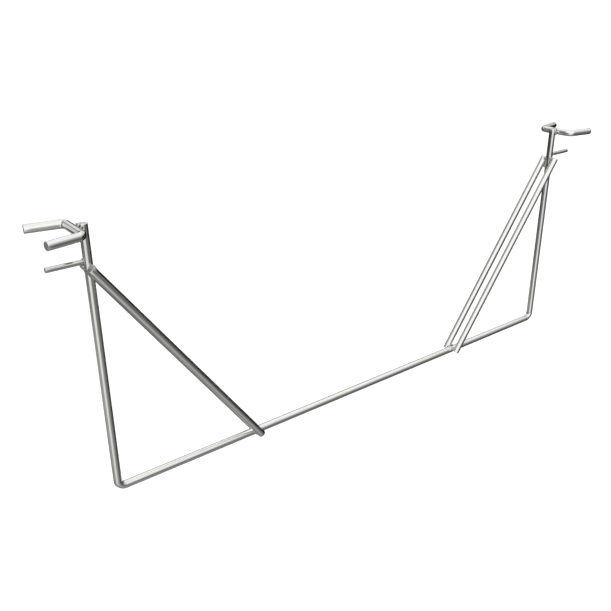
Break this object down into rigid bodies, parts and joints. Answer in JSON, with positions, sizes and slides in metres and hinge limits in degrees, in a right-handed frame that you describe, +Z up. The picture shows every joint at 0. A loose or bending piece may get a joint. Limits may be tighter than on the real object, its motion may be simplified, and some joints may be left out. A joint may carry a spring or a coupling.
{
  "type": "rescue stretcher cradle",
  "caption": "Hanging cradle for a rescue stretcher: a wide U of bent steel rod with sloping braces at its ends, and outward forks and thin pegs at the tops of its legs.",
  "frame": {"origin": "middle of the bar's underside, on the symmetry planes of the frame", "axes": "+X along the bar towards the right leg, +Y from the front braces to the rear braces, +Z up along the legs"},
  "size_m": [0.905, 0.0778, 0.3452],
  "materials": {
    "rod_steel": "bright polished steel rod with faint drawing lines along it",
    "peg_steel": "bright polished steel rod, thinner stock",
    "weld_metal": "cleaned weld metal, rippled and a little duller than the rods"
  },
  "bodies": {
    "root": {"frame_rod": "rod_steel", "brace_left_front": "rod_steel", "brace_left_rear": "rod_steel", "brace_right_front": "rod_steel", "brace_right_rear": "rod_steel", "fork_left": "rod_steel", "fork_right": "rod_steel", "peg_left": "peg_steel", "peg_right": "peg_steel", "weld_foot_left_front_upper": "weld_metal", "weld_foot_left_front_lower": "weld_metal", "weld_foot_left_rear_upper": "weld_metal", "weld_foot_left_rear_lower": "weld_metal", "weld_foot_right_front_upper": "weld_metal", "weld_foot_right_front_lower": "weld_metal", "weld_foot_right_rear_upper": "weld_metal", "weld_foot_right_rear_lower": "weld_metal", "weld_head_left_front_upper": "weld_metal", "weld_head_left_front_lower": "weld_metal", "weld_head_left_rear_upper": "weld_metal", "weld_head_left_rear_lower": "weld_metal", "weld_head_right_front_upper": "weld_metal", "weld_head_right_front_lower": "weld_metal", "weld_head_right_rear_upper": "weld_metal", "weld_head_right_rear_lower": "weld_metal", "weld_fork_left_upper": "weld_metal", "weld_fork_left_lower": "weld_metal", "weld_fork_right_upper": "weld_metal", "weld_fork_right_lower": "weld_metal", "weld_peg_left": "weld_metal", "weld_peg_right": "weld_metal"}
  },
  "joints": []
}
